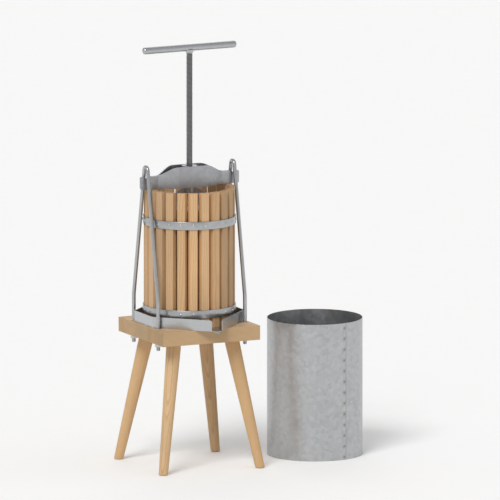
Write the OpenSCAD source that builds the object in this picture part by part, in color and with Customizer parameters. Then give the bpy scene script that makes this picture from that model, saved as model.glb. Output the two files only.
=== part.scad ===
// Screw fruit press on a wooden stool. Its basket of wooden slats stands in a sheet-metal juice tray.
// Two bent rods hold down the crossbeam, whose spindle drives a wooden disc into the basket.
// The origin is on the floor below the spindle, +X runs along the crossbeam and the spout faces -Y.

/* [Stool] */
// Height of the seat's top above the floor
stool_height = 450; // [350:5:600]
// Thickness of the seat plank
seat_thickness = 45; // [36:1:60]
// Wood between a rod's centre line and the side of the plank
seat_margin = 17.5; // [14:0.5:40]
// Distance of each leg's centre from the middle planes, where it meets the seat
leg_inset = 98.5; // [70:0.5:115]
// Diameter of a leg at its foot
leg_foot_d = 29; // [22:0.5:40]
// Largest diameter of a leg, just below its shoulder
leg_max_d = 46; // [38:0.5:54]
// Diameter of a leg where it meets the seat
leg_neck_d = 37; // [32:0.5:44]
// Length of the rounded shoulder at the top of a leg
leg_shoulder = 20; // [10:1:40]
// Diameter of the tenon that goes up into the seat
tenon_d = 28; // [18:0.5:30]
// Wood left above the tenons
tenon_cover = 13; // [8:1:20]

/* [Basket] */
// Number of slats round the basket
slat_count = 23; // [17:1:27]
// Diameter that fits inside the slats
basket_inner_d = 250; // [220:1:280]
// Length of a slat
slat_length = 425; // [350:1:500]
// Thickness of a slat
slat_thickness = 17; // [14:0.5:22]
// Juice gap between two slats at their inner faces
slat_gap = 2.4; // [1:0.1:6]
// How much each side of a slat leans in towards its outer face
slat_lean = 4; // [0.5:0.1:5]
// Width of the hoops round the slats
hoop_width = 25; // [16:1:40]
// Thickness of the hoops
hoop_thickness = 3; // [1.5:0.5:4]
// Height of the lower hoop's middle above the bottom of the slats
lower_hoop_z = 43; // [30:1:80]
// Depth of the upper hoop's middle below the top of the slats
upper_hoop_drop = 101.5; // [60:0.5:140]
// Shank diameter of a hoop screw
hoop_screw_d = 4; // [3:0.5:5]
// Length of a hoop screw below its head
hoop_screw_length = 18; // [12:1:19]
// Head diameter of a hoop screw
hoop_screw_head_d = 8; // [6:0.5:10]
// Head height of a hoop screw
hoop_screw_head_h = 2.2; // [1:0.1:3]

/* [Juice tray] */
// Thickness of the tray's sheet
tray_sheet = 1.5; // [0.8:0.1:3]
// Height of the tray's wall
tray_height = 35; // [20:1:60]
// Gap between the hoop screws and the tray's wall
tray_gap = 9.5; // [4:0.5:30]
// Length of wall that is left out on each side of the spout's corner
spout_opening = 25; // [15:1:40]
// Radius of the wall's top corners beside the spout
spout_corner_r = 7; // [3:0.5:12]
// Length of the spout's nose that is bent down
spout_nose = 9; // [5:0.5:12]
// Radius of the spout's rounded tip
spout_tip_r = 8; // [3:0.5:12]
// Angle that the spout's nose is bent down
spout_angle = 35; // [10:1:60]

/* [Drain bars] */
// Length of a bar
bar_length = 127; // [90:1:150]
// Width of a bar
bar_width = 31; // [20:1:40]
// Height of a bar
bar_height = 18; // [12:1:28]
// Distance between the middles of two bars
bar_pitch = 52.5; // [44:0.5:60]
// Radius of a bar's upper edges, but for the outer bars' outward ones, which are square
bar_edge_r = 11; // [2:0.5:11]

/* [Bent rods] */
// Diameter of the rods
rod_d = 12; // [10:0.5:14]
// Length of thread at each end of a rod
rod_thread = 72; // [72:1:90]
// Upright length of rod above the thread
rod_straight = 79; // [40:1:120]
// Bend radius of the rod's centre line at the top
apex_bend_r = 13; // [12.5:0.5:20]
// Bend radius of the rod's centre line at the knee
knee_bend_r = 60; // [30:1:150]
// Thread that shows below a nut
rod_tail = 12; // [4:1:20]
// Width of a nut across its flats
nut_width = 19; // [18:0.5:22]
// Height of a nut
nut_height = 10; // [8:0.5:13]
// Outer diameter of a washer
washer_d = 20; // [18:0.5:26]
// Thickness of a washer
washer_thickness = 2; // [1:0.1:3]

/* [Crossbeam] */
// Thickness of each steel cheek
cheek_thickness = 5; // [3:0.1:5.5]
// Length of beam outside the rods' centre lines
beam_end = 19.5; // [14:0.5:30]
// Height of the beam at its ends
beam_tip_height = 41; // [32:1:56]
// Height of the beam in the middle
beam_height = 66.6; // [58:0.1:80]
// Half length of the beam's highest, parallel part
beam_parallel = 47; // [30:1:60]
// Distance from the middle where the cheeks come together
cheek_join = 108; // [90:1:125]
// Inner radius of the cheeks' bends
cheek_bend_r = 6; // [1:0.5:12]
// Distance from the middle where the beam begins to rise
beam_rise = 118; // [100:1:130]
// Depth of the notches that take the rods
notch_depth = 6; // [3:0.5:10]
// Radius of the beam's end corners
beam_corner_r = 6; // [2:0.5:10]
// Diameter of the spindle's nut, welded between the cheeks
spindle_nut_d = 50; // [36:1:60]
// Height that the beam can rise from the basket's rim to the rods' bends
beam_play = 28; // [15:1:60]

/* [Screw] */
// Outer diameter of the spindle
spindle_d = 20; // [16:0.5:24]
// Length of the spindle's thread
spindle_thread = 423; // [380:1:500]
// Pitch of the spindle's thread
spindle_pitch = 4; // [3:0.5:6]
// Depth of the spindle's thread
spindle_thread_depth = 2.25; // [1:0.05:2.5]
// Diameter of the handle bar
handle_d = 22; // [18:0.5:28]
// Length of the handle bar
handle_length = 320; // [240:5:420]
// Radius of the handle bar's rounded ends
handle_end_r = 8; // [2:0.5:8.5]
// Height of the collar between spindle and handle bar
collar_height = 6; // [3:0.5:12]
// How far the collar flares outside the spindle
collar_flare = 4; // [2:0.5:6]

/* [Press foot] */
// Length of the foot's plate
foot_length = 210; // [160:1:215]
// Width of the foot's plate
foot_width = 50; // [46:1:80]
// Thickness of the foot's plate
foot_thickness = 10; // [5:0.5:16]
// Radius of the foot plate's corners
foot_corner_r = 12; // [3:0.5:20]
// Height of the socket that takes the spindle's tip
socket_height = 48; // [30:1:60]
// Wall of the socket
socket_wall = 7; // [4:0.5:9]
// Thickness of the gussets and ribs
gusset_thickness = 5; // [3:0.5:8]
// Thickness of the wooden disc
disc_thickness = 48; // [30:1:60]
// Gap between the disc and the slats
disc_gap = 6.5; // [3:0.5:12]
// How much the disc's side leans in towards its top
disc_lean = 3; // [0.5:0.5:6]
// Distance of the foot's screws from the spindle, along the plate
foot_screw_x = 63; // [45:1:75]
// Distance of the foot's screws from the plate's middle line
foot_screw_y = 17; // [12:0.5:18]
// Shank diameter of a foot screw
foot_screw_d = 5; // [4:0.5:6]
// Length of a foot screw below its head
foot_screw_length = 30; // [20:1:38]
// Head diameter of a foot screw
foot_screw_head_d = 9.5; // [8:0.5:12]
// Head height of a foot screw
foot_screw_head_h = 3.5; // [2:0.1:5]

/* [Splash sleeve] */
// Height of the sleeve
sleeve_height = 432; // [380:1:500]
// Thickness of the sleeve's sheet
sleeve_sheet = 0.8; // [0.5:0.1:1.5]
// Distance of the sleeve's middle from the spindle, where it stands
sleeve_distance = 431; // [400:1:600]
// Direction of the lap's free edge, seen from above
lap_angle = -74; // [-180:1:180]

/* [Fits] */
// Clearance all round a screw, tenon or spindle in its hole
running_gap = 0.05; // [0.02:0.01:0.1]
// Clearance all round a rod in the seat and in its washers
rod_gap = 0.5; // [0.3:0.1:1]
// Clearance all round a screw in metal
screw_gap = 0.25; // [0.1:0.05:0.4]
// Gap between a moving piece and what it rests on
rest_gap = 0.3; // [0.2:0.05:0.5]
// Gap between the slats' corners and the hoops
hoop_gap = 0.1; // [0.05:0.05:0.3]
// Gap between the rods and the slats' corners
rod_slat_gap = 0.4; // [0.4:0.1:3]
// Gap between the washers and the tray's wall
washer_tray_gap = 0.7; // [0.3:0.1:3]
// Gap between the sleeve and the heads of the hoop screws, when it is round the basket
sleeve_gap = 0.45; // [0.3:0.05:3]
// Gap between the raised foot and the nut
raised_gap = 1; // [0.5:0.5:10]
// Side gap between a rod and its notch
notch_gap = 0.5; // [0.3:0.1:2]

/* [Hidden] */
$fn = 64;
rod_sides = 32;
bend_thinning = 0.2;
bend_lap = 0.4;
tip_overlap = 0.02;
nose_step = 0.05;
screw_sides = 24;
leg_steps = 6;
rise_steps = 12;
bend_steps = 4;
lap_steps = 12;
lap_turn = 60;
cut = 1;

// Where root and crest of the spindle's thread begin and end, in shares of the pitch
root_share = 0.32;
crest_start = 0.47;
crest_end = 0.85;

// The basket, from the slats' inner faces outwards
slat_pitch = 360 / slat_count;
slat_inner_w = basket_inner_d * tan(slat_pitch / 2) - slat_gap;
slat_outer_w = slat_inner_w - 2 * slat_lean;
slat_outer_x = basket_inner_d / 2 + slat_thickness;
slat_corner_r = sqrt(slat_outer_x * slat_outer_x + slat_outer_w * slat_outer_w / 4);
hoop_inner_r = slat_corner_r + hoop_gap;
hoop_outer_r = hoop_inner_r + hoop_thickness;
screw_head_r = hoop_outer_r + hoop_screw_head_h;

// The plan of tray, rods and stool
tray_apothem = screw_head_r + tray_gap + tray_sheet;
rod_x = slat_corner_r + rod_slat_gap + rod_d / 2;
rod_y = sqrt(2) * (tray_apothem + washer_d / 2 + washer_tray_gap) - rod_x;
seat_half = max(rod_x, rod_y) + seat_margin;
seat_bottom = stool_height - seat_thickness;
leg_run = seat_half - leg_inset;
leg_tilt = atan2(sqrt(2) * leg_run, seat_bottom);
leg_length = seat_bottom / cos(leg_tilt);
tenon_length = (seat_thickness - tenon_cover) / cos(leg_tilt);

// Heights of the basket and of what stands on the tray's floor
tray_floor = stool_height + tray_sheet;
slat_top = tray_floor + slat_length;
lower_hoop_mid = tray_floor + lower_hoop_z;
upper_hoop_mid = slat_top - upper_hoop_drop;

// Heights of the beam, the raised foot and the spindle
beam_z = slat_top + rest_gap;
beam_half = rod_x + beam_end;
socket_top = beam_z - raised_gap;
foot_top = socket_top - socket_height;
disc_top = foot_top - foot_thickness;
disc_bottom = disc_top - disc_thickness;
tip_bottom = foot_top + rest_gap;
thread_bottom = tip_bottom + socket_height;
thread_top = thread_bottom + spindle_thread;
handle_z = thread_top + collar_height + handle_d / 2;
spindle_bore_d = spindle_d + 2 * running_gap;
socket_d = spindle_bore_d + 2 * socket_wall;
disc_bottom_d = basket_inner_d - 2 * disc_gap;
disc_top_d = disc_bottom_d - 2 * disc_lean;
collar_wrap = handle_d / 4;
web_toe = 2;
web_root = socket_d / 4;
gusset_reach = foot_length / 2 - 6;
rib_reach = foot_width / 2 - 1;

// The bent rods: the bend's centre lets the lifted beam's notch touch it with its two corners
notch_floor = beam_z + beam_tip_height - notch_depth;
apex_inner_r = apex_bend_r - rod_d / 2;
apex_seat = notch_floor + beam_play + rest_gap;
apex_z = apex_seat - sqrt(apex_inner_r * apex_inner_r - cheek_thickness * cheek_thickness);
rod_bottom = seat_bottom - washer_thickness - nut_height - rod_tail;
knee_z = rod_bottom + rod_thread + rod_straight;
rod_lean = atan2(rod_y, apex_z - knee_z) - asin(apex_bend_r / norm([rod_y, apex_z - knee_z]));
knee_start = knee_z - knee_bend_r * tan(rod_lean / 2);
lean_length = norm([rod_y - knee_bend_r + (knee_bend_r - apex_bend_r) * cos(rod_lean),
    knee_start - apex_z + (knee_bend_r - apex_bend_r) * sin(rod_lean)]);

// The splash sleeve
sleeve_inner_r = screw_head_r + sleeve_gap;
sleeve_outer_r = sleeve_inner_r + sleeve_sheet;

wood = "burlywood";
dark_wood = "peru";
steel = "lightsteelblue";
zinc = "silver";
sheet_metal = "gainsboro";
thread_metal = "dimgray";

function slat_name(i) = str("slat_", i < 9 ? "0" : "", i + 1);

slat_names = [for (i = [0:slat_count - 1]) slat_name(i)];
sides = [-1, 1];
bar_names = ["drain_bar_left", "drain_bar_middle", "drain_bar_right"];
bar_count = len(bar_names);

// Places its children at each of the four rods
module at_rods() {
    for (x = sides, y = sides)
        translate([x * rod_x, y * rod_y, 0])
            children();
}

// Puts a leg's own axis in place: its children stand on the floor point and lean in to the seat
module on_leg_axis(x, y) {
    translate([x * seat_half, y * seat_half, 0])
        rotate([0, leg_tilt, atan2(-y, -x)])
            children();
}

module seat_plank() {
    color(wood)
    difference() {
        translate([-seat_half, -seat_half, seat_bottom])
            cube([2 * seat_half, 2 * seat_half, seat_thickness]);
        translate([0, 0, seat_bottom - cut])
            at_rods()
                cylinder(d = rod_d + 2 * rod_gap, h = seat_thickness + 2 * cut);
        for (x = sides, y = sides)
            on_leg_axis(x, y)
                translate([0, 0, leg_length - tenon_d])
                    cylinder(d = tenon_d + 2 * running_gap, h = tenon_length + tenon_d + rest_gap);
    }
}

// A turned leg, cut level at the floor and at the seat, with a tenon on top
module leg(x, y) {
    shoulder_start = leg_length - leg_shoulder;
    foot_slope = (leg_max_d - leg_foot_d) / 2 / shoulder_start;
    run_out = leg_foot_d;
    outline = concat(
        [[0, -run_out], [leg_foot_d / 2 - foot_slope * run_out, -run_out], [leg_max_d / 2, shoulder_start]],
        [for (i = [1:leg_steps])
            [leg_neck_d / 2 + (leg_max_d - leg_neck_d) / 2 * cos(90 * i / leg_steps),
             shoulder_start + leg_shoulder * sin(90 * i / leg_steps)]],
        [[leg_neck_d / 2, leg_length + run_out], [0, leg_length + run_out]]
    );
    color(wood)
    union() {
        intersection() {
            on_leg_axis(x, y)
                rotate_extrude()
                    polygon(outline);
            translate([-2 * seat_half, -2 * seat_half, 0])
                cube([4 * seat_half, 4 * seat_half, seat_bottom]);
        }
        intersection() {
            on_leg_axis(x, y)
                translate([0, 0, leg_length - tenon_d])
                    cylinder(d = tenon_d, h = tenon_length + tenon_d);
            translate([-seat_half, -seat_half, seat_bottom - cut])
                cube([2 * seat_half, 2 * seat_half, seat_thickness]);
        }
    }
}

// Seven straight sides: an octagon whose front side gives way to a square corner, the spout
function tray_outline(apothem) =
    let (k = apothem * tan(22.5))
    [[0, -apothem * sqrt(2)], [apothem, -k], [apothem, k], [k, apothem],
     [-k, apothem], [-apothem, k], [-apothem, -k]];

// The tray's floor with the spout's tip rounded
module tray_floor_shape(apothem) {
    tip_y = -apothem * sqrt(2);
    touch = spout_tip_r / sqrt(2);
    difference() {
        polygon(tray_outline(apothem));
        translate([-2 * touch, tip_y - touch])
            square([4 * touch, 2 * touch]);
    }
    translate([0, tip_y + 2 * touch])
        circle(r = spout_tip_r + tip_overlap);
}

module tray_wall() {
    difference() {
        linear_extrude(tray_height)
            difference() {
                polygon(tray_outline(tray_apothem));
                polygon(tray_outline(tray_apothem - tray_sheet));
            }
        translate([0, -tray_apothem * sqrt(2), -cut])
            rotate(45)
                translate([-cut, -cut, 0])
                    cube([spout_opening + cut, spout_opening + cut, tray_height + 2 * cut]);
        for (x = sides)
            translate([0, -tray_apothem * sqrt(2), tray_height - spout_corner_r])
                rotate(90 - x * 45)
                    translate([spout_opening, 0, 0])
                        spout_corner_cut();
    }
}

// What rounds a wall's top corner, in the frame of that wall's lower edge
module spout_corner_cut() {
    difference() {
        translate([-cut, -2 * tray_sheet, 0])
            cube([spout_corner_r + cut, 4 * tray_sheet, spout_corner_r + cut]);
        translate([spout_corner_r, 0, 0])
            rotate([90, 0, 0])
                cylinder(r = spout_corner_r, h = 6 * tray_sheet, center = true);
    }
}

module juice_tray() {
    bend_y = -tray_apothem * sqrt(2) + spout_tip_r * (sqrt(2) - 1) + spout_nose;
    reach = 2 * tray_apothem;
    color(sheet_metal)
    translate([0, 0, stool_height])
    union() {
        linear_extrude(tray_sheet)
            intersection() {
                tray_floor_shape(tray_apothem);
                translate([-reach, bend_y])
                    square([2 * reach, 2 * reach]);
            }
        translate([0, bend_y, tray_sheet - nose_step])
            rotate([spout_angle, 0, 0])
                translate([0, -bend_y, -tray_sheet])
                    linear_extrude(tray_sheet)
                        intersection() {
                            tray_floor_shape(tray_apothem - nose_step);
                            translate([-reach, bend_y + nose_step - 2 * reach])
                                square([2 * reach, 2 * reach]);
                        }
        tray_wall();
    }
}

// A bar with a flat bottom, laid along Y. The outer bars' outward edges are square, all others are rounded
module drain_bar(i) {
    place = i - (bar_count - 1) / 2;
    color(dark_wood)
    translate([place * bar_pitch, bar_length / 2, tray_floor])
        rotate([90, 0, 0])
            linear_extrude(bar_length)
                intersection() {
                    translate([-bar_width / 2, 0])
                        square([bar_width, bar_height]);
                    union() {
                        translate([-bar_width / 2, 0])
                            square([bar_width, bar_height - bar_edge_r]);
                        translate([bar_edge_r - bar_width / 2, 0])
                            square([bar_width - 2 * bar_edge_r, bar_height]);
                        for (x = sides)
                            translate([x * (bar_width / 2 - bar_edge_r), bar_height - bar_edge_r])
                                bar_corner(x * place > 0);
                    }
                }
}

// What fills a bar's upper corner, drawn round the centre of its edge radius
module bar_corner(is_square) {
    if (is_square)
        square(2 * bar_edge_r, center = true);
    else
        circle(r = bar_edge_r);
}

module slat(i) {
    hole_bottom_x = hoop_outer_r - hoop_screw_length - rest_gap;
    color(wood)
    rotate(i * slat_pitch)
        difference() {
            translate([0, 0, tray_floor])
                linear_extrude(slat_length)
                    polygon([
                        [basket_inner_d / 2, -slat_inner_w / 2], [slat_outer_x, -slat_outer_w / 2],
                        [slat_outer_x, slat_outer_w / 2], [basket_inner_d / 2, slat_inner_w / 2]
                    ]);
            for (z = [lower_hoop_mid, upper_hoop_mid])
                translate([hole_bottom_x, 0, z])
                    rotate([0, 90, 0])
                        cylinder(d = hoop_screw_d + 2 * running_gap, h = slat_outer_x - hole_bottom_x + cut);
        }
}

module hoop(z) {
    color(zinc)
    translate([0, 0, z])
        difference() {
            cylinder(r = hoop_outer_r, h = hoop_width, center = true);
            cylinder(r = hoop_inner_r, h = hoop_width + 2 * cut, center = true);
            for (i = [0:slat_count - 1])
                rotate([0, 90, i * slat_pitch])
                    translate([0, 0, hoop_inner_r - cut])
                        cylinder(d = hoop_screw_d + 2 * screw_gap, h = hoop_thickness + 2 * cut);
        }
}

module hoop_screws(z) {
    color(steel)
    for (i = [0:slat_count - 1])
        translate([0, 0, z])
            rotate([0, 90, i * slat_pitch])
                translate([0, 0, hoop_outer_r - hoop_screw_length]) {
                    cylinder(d = hoop_screw_d, h = hoop_screw_length + hoop_screw_head_h, $fn = screw_sides);
                    translate([0, 0, hoop_screw_length])
                        cylinder(d = hoop_screw_head_d, h = hoop_screw_head_h, $fn = screw_sides);
                }
}

// A bend of a rod, a hair thinner than the straight parts that run into it
module rod_bend(angle, r) {
    rotate_extrude(angle = angle)
        translate([r, 0])
            circle(d = rod_d - bend_thinning, $fn = rod_sides);
}

// One leg of a bent rod, drawn in the plane of the bend round the bend's centre, down to its thread
module rod_leg() {
    rotate([0, 0, rod_lean]) {
        translate([apex_bend_r, bend_lap, 0])
            rotate([90, 0, 0])
                cylinder(d = rod_d, h = lean_length + 2 * bend_lap, $fn = rod_sides);
        translate([apex_bend_r - knee_bend_r, -lean_length, 0])
            rotate([0, 0, -rod_lean]) {
                rod_bend(rod_lean, knee_bend_r);
                translate([knee_bend_r, bend_lap, 0])
                    rotate([90, 0, 0])
                        cylinder(d = rod_d, h = knee_start - rod_bottom + bend_lap, $fn = rod_sides);
            }
    }
}

module hairpin(x) {
    color(steel)
    translate([x * rod_x, 0, apex_z])
        rotate([90, 0, 90])
            union() {
                rotate([0, 0, rod_lean])
                    rod_bend(180 - 2 * rod_lean, apex_bend_r);
                rod_leg();
                mirror([1, 0, 0])
                    rod_leg();
            }
}

module washers(z) {
    color(zinc)
    translate([0, 0, z])
        at_rods()
            difference() {
                cylinder(d = washer_d, h = washer_thickness);
                translate([0, 0, -cut])
                    cylinder(d = rod_d + 2 * rod_gap, h = washer_thickness + 2 * cut);
            }
}

module rod_nuts() {
    color(zinc)
    translate([0, 0, seat_bottom - washer_thickness - nut_height])
        at_rods()
            difference() {
                cylinder(d = nut_width / cos(30), h = nut_height, $fn = 6);
                translate([0, 0, -cut])
                    cylinder(d = rod_d + 2 * running_gap, h = nut_height + 2 * cut);
            }
}

// The beam's side view: level at the ends, then rising in a soft S to its highest part
module beam_profile() {
    rise = [for (i = [0:rise_steps])
        [beam_rise - (beam_rise - beam_parallel) * i / rise_steps,
         beam_tip_height + (beam_height - beam_tip_height) * (1 - cos(180 * i / rise_steps)) / 2]];
    r = beam_corner_r;
    right = concat([[beam_half - r, 0], [beam_half, r]],
        [[beam_half, beam_tip_height - r], [beam_half - r, beam_tip_height]], rise);
    left = [for (i = [len(right) - 1:-1:0]) [-right[i][0], right[i][1]]];
    union() {
        polygon(concat(right, left));
        for (x = sides, y = [r, beam_tip_height - r])
            translate([x * (beam_half - r), y])
                circle(r = r);
    }
}

function arc(centre, r, from, to) =
    [for (i = [0:bend_steps])
        let (a = from + (to - from) * i / bend_steps)
        centre + r * [cos(a), sin(a)]];

function reversed(points) = [for (i = [len(points) - 1:-1:0]) points[i]];

function mirrored(points) = [for (p = points) [-p[0], p[1]]];

// The front cheek's plan: flat against the other cheek at its ends, bent out round the nut between them
module cheek_plan() {
    bulge = spindle_nut_d / 2;
    bend = atan2(bulge, cheek_join - beam_parallel);
    small = cheek_bend_r;
    large = cheek_bend_r + cheek_thickness;
    end_bend = [cheek_join + large * tan(bend / 2), -large];
    nut_bend = [beam_parallel - small * tan(bend / 2), small - bulge];
    inner = concat(
        [[beam_half, 0]],
        arc(end_bend, large, 90, 90 + bend),
        arc(nut_bend, small, bend - 90, -90)
    );
    outer = concat(
        [[beam_half, -cheek_thickness]],
        arc(end_bend, small, 90, 90 + bend),
        arc(nut_bend, large, bend - 90, -90)
    );
    polygon(concat(inner, reversed(mirrored(inner)), mirrored(outer), reversed(outer)));
}

// What is cut out of the beam's upper edge for a rod: round at the bottom, open at the top
module notch_shape() {
    notch_w = rod_d + 2 * notch_gap;
    translate([0, beam_tip_height - notch_depth + notch_w / 2]) {
        circle(d = notch_w);
        translate([-notch_w / 2, 0])
            square([notch_w, notch_depth + cut]);
    }
}

module front_cheek() {
    color(steel)
    translate([0, 0, beam_z])
        difference() {
            intersection() {
                linear_extrude(beam_height)
                    cheek_plan();
                rotate([90, 0, 0])
                    linear_extrude(2 * spindle_nut_d, center = true)
                        beam_profile();
            }
            for (x = sides)
                translate([x * rod_x, 0, 0])
                    rotate([90, 0, 0])
                        linear_extrude(4 * cheek_thickness, center = true)
                            notch_shape();
        }
}

module back_cheek() {
    mirror([0, 1, 0])
        front_cheek();
}

module spindle_nut() {
    color(zinc)
    translate([0, 0, beam_z])
        difference() {
            cylinder(d = spindle_nut_d, h = beam_height);
            translate([0, 0, -cut])
                cylinder(d = spindle_bore_d, h = beam_height + 2 * cut);
        }
}

// The spindle's outline from its thread's lower end to the thread's top, one ridge for each turn
function thread_outline() =
    let (turns = floor(spindle_thread / spindle_pitch),
         crest = spindle_d / 2,
         root = crest - spindle_thread_depth,
         steps = [[0, root], [root_share, root], [crest_start, crest], [crest_end, crest]])
    concat(
        [[0, 0]],
        [for (i = [0:turns - 1], s = steps) [s[1], (i + s[0]) * spindle_pitch]],
        [[root, spindle_thread], [0, spindle_thread]]
    );

module spindle() {
    tip_r = spindle_d / 2;
    color(thread_metal)
    difference() {
        union() {
            translate([0, 0, tip_bottom + tip_r])
                sphere(r = tip_r);
            translate([0, 0, tip_bottom + tip_r])
                cylinder(r = tip_r, h = thread_bottom - tip_bottom - tip_r);
            translate([0, 0, thread_bottom])
                rotate_extrude()
                    polygon(thread_outline());
            translate([0, 0, thread_top])
                cylinder(r = tip_r - spindle_thread_depth, h = handle_z - thread_top);
        }
        translate([0, 0, handle_z])
            rotate([0, 90, 0])
                cylinder(d = handle_d, h = handle_length, center = true);
    }
}

module handle_bar() {
    color(steel)
    translate([0, 0, handle_z])
        rotate([0, 90, 0])
            rotate_extrude()
                intersection() {
                    union() {
                        square([handle_d - 2 * handle_end_r, handle_length], center = true);
                        square([handle_d, handle_length - 2 * handle_end_r], center = true);
                        for (x = sides, y = sides)
                            translate([x * (handle_d / 2 - handle_end_r), y * (handle_length / 2 - handle_end_r)])
                                circle(r = handle_end_r);
                    }
                    translate([0, -handle_length])
                        square([handle_d, 2 * handle_length]);
                }
}

// A flared ring that joins the spindle's top to the handle bar
module handle_collar() {
    bore_d = spindle_d - 2 * spindle_thread_depth + 2 * running_gap;
    top = handle_z - thread_top;
    color(steel)
    difference() {
        translate([0, 0, thread_top])
            union() {
                cylinder(d1 = spindle_d, d2 = spindle_d + 2 * collar_flare, h = collar_height);
                translate([0, 0, collar_height])
                    cylinder(d = spindle_d + 2 * collar_flare, h = handle_d / 2);
            }
        translate([0, 0, thread_top - cut])
            cylinder(d = bore_d, h = top + 2 * cut);
        translate([0, 0, handle_z])
            rotate([0, 90, 0])
                cylinder(d = handle_d, h = handle_length, center = true);
        translate([-handle_d, -handle_d, handle_z - collar_wrap])
            cube([2 * handle_d, 2 * handle_d, handle_d]);
    }
}

module foot_plate() {
    color(steel)
    translate([0, 0, disc_top])
        difference() {
            linear_extrude(foot_thickness)
                union() {
                    square([foot_length, foot_width - 2 * foot_corner_r], center = true);
                    square([foot_length - 2 * foot_corner_r, foot_width], center = true);
                    for (x = sides, y = sides)
                        translate([x * (foot_length / 2 - foot_corner_r), y * (foot_width / 2 - foot_corner_r)])
                            circle(r = foot_corner_r);
                }
            at_foot_screws()
                translate([0, 0, -cut])
                    cylinder(d = foot_screw_d + 2 * screw_gap, h = foot_thickness + 2 * cut);
        }
}

// Places its children at each of the foot's four screws
module at_foot_screws() {
    for (x = sides, y = sides)
        translate([x * foot_screw_x, y * foot_screw_y, 0])
            children();
}

module foot_socket() {
    color(zinc)
    translate([0, 0, foot_top])
        difference() {
            cylinder(d = socket_d, h = socket_height);
            translate([0, 0, -cut])
                cylinder(d = spindle_bore_d, h = socket_height + 2 * cut);
        }
}

// A triangular web from the socket's top down to the plate, reaching so far from the spindle
module web(reach) {
    difference() {
        rotate([90, 0, 0])
            linear_extrude(gusset_thickness, center = true)
                polygon([
                    [web_root, 0], [reach, 0], [reach, web_toe],
                    [socket_d / 2, socket_height], [web_root, socket_height]
                ]);
        translate([0, 0, -cut])
            cylinder(d = socket_d, h = socket_height + 2 * cut);
    }
}

module foot_gussets() {
    color(zinc)
    translate([0, 0, foot_top])
        for (a = [0, 180])
            rotate(a)
                web(gusset_reach);
}

module foot_ribs() {
    color(zinc)
    translate([0, 0, foot_top])
        for (a = [90, 270])
            rotate(a)
                web(rib_reach);
}

module foot_screws() {
    color(steel)
    translate([0, 0, foot_top])
        at_foot_screws() {
            translate([0, 0, -foot_screw_length])
                cylinder(d = foot_screw_d, h = foot_screw_length, $fn = screw_sides);
            cylinder(d = foot_screw_head_d, h = foot_screw_head_h, $fn = screw_sides);
        }
}

module press_disc() {
    hole_depth = foot_screw_length - foot_thickness + rest_gap;
    color(wood)
    translate([0, 0, disc_bottom])
        difference() {
            cylinder(d1 = disc_bottom_d, d2 = disc_top_d, h = disc_thickness, $fn = 96);
            at_foot_screws()
                translate([0, 0, disc_thickness - hole_depth])
                    cylinder(d = foot_screw_d + 2 * running_gap, h = hole_depth + cut, $fn = screw_sides);
        }
}

// A rolled sheet, standing beside the press, whose outer layer ends in a lap
module splash_sleeve() {
    lap = [for (i = [0:lap_steps])
        let (a = lap_angle - lap_turn * (1 - i / lap_steps),
             r = sleeve_outer_r + sleeve_sheet * i / lap_steps)
        [r * cos(a), r * sin(a)]];
    color(sheet_metal)
    translate([sleeve_distance, 0, 0])
        linear_extrude(sleeve_height)
            difference() {
                union() {
                    circle(r = sleeve_outer_r, $fn = 128);
                    polygon(concat([[0, 0]], lap));
                }
                circle(r = sleeve_inner_r, $fn = 128);
            }
}

seat_plank();
leg(-1, -1);  // leg_front_left
leg(1, -1);  // leg_front_right
leg(-1, 1);  // leg_back_left
leg(1, 1);  // leg_back_right
juice_tray();
for (i = [0:bar_count - 1]) drain_bar(i);
for (i = [0:slat_count - 1]) slat(i);
hoop(lower_hoop_mid);  // lower_hoop
hoop(upper_hoop_mid);  // upper_hoop
hoop_screws(lower_hoop_mid);  // lower_hoop_screws
hoop_screws(upper_hoop_mid);  // upper_hoop_screws
hairpin(-1);  // left_hairpin
hairpin(1);  // right_hairpin
washers(stool_height);  // upper_washers
washers(seat_bottom - washer_thickness);  // lower_washers
rod_nuts();
front_cheek();
back_cheek();
spindle_nut();
spindle();
handle_bar();
handle_collar();
foot_plate();
foot_socket();
foot_gussets();
foot_ribs();
foot_screws();
press_disc();
splash_sleeve();
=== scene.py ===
import math
import random
from collections import Counter

import bmesh
import bpy
from mathutils import Matrix, Vector


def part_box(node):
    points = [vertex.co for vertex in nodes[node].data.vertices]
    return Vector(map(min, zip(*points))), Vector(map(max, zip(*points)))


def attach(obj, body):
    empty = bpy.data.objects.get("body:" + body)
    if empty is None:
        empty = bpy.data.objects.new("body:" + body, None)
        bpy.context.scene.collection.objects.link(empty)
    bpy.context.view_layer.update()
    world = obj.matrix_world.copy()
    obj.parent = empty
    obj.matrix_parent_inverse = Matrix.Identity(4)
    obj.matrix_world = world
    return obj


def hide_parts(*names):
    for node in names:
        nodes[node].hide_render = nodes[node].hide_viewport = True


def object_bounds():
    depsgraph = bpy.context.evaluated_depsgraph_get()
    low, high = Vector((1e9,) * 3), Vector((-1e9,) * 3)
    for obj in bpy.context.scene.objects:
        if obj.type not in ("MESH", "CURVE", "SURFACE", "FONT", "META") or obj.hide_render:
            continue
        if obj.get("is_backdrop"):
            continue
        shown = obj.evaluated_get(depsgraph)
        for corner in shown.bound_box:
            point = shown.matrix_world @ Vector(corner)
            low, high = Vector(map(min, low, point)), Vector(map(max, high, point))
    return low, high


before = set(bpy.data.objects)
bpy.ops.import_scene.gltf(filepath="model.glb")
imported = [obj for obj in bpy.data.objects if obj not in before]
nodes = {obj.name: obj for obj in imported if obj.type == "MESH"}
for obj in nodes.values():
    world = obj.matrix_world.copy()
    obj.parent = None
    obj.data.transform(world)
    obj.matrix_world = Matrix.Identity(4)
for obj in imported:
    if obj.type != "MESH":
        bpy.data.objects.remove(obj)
cad_low, cad_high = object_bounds()
random.seed(7)

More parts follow.
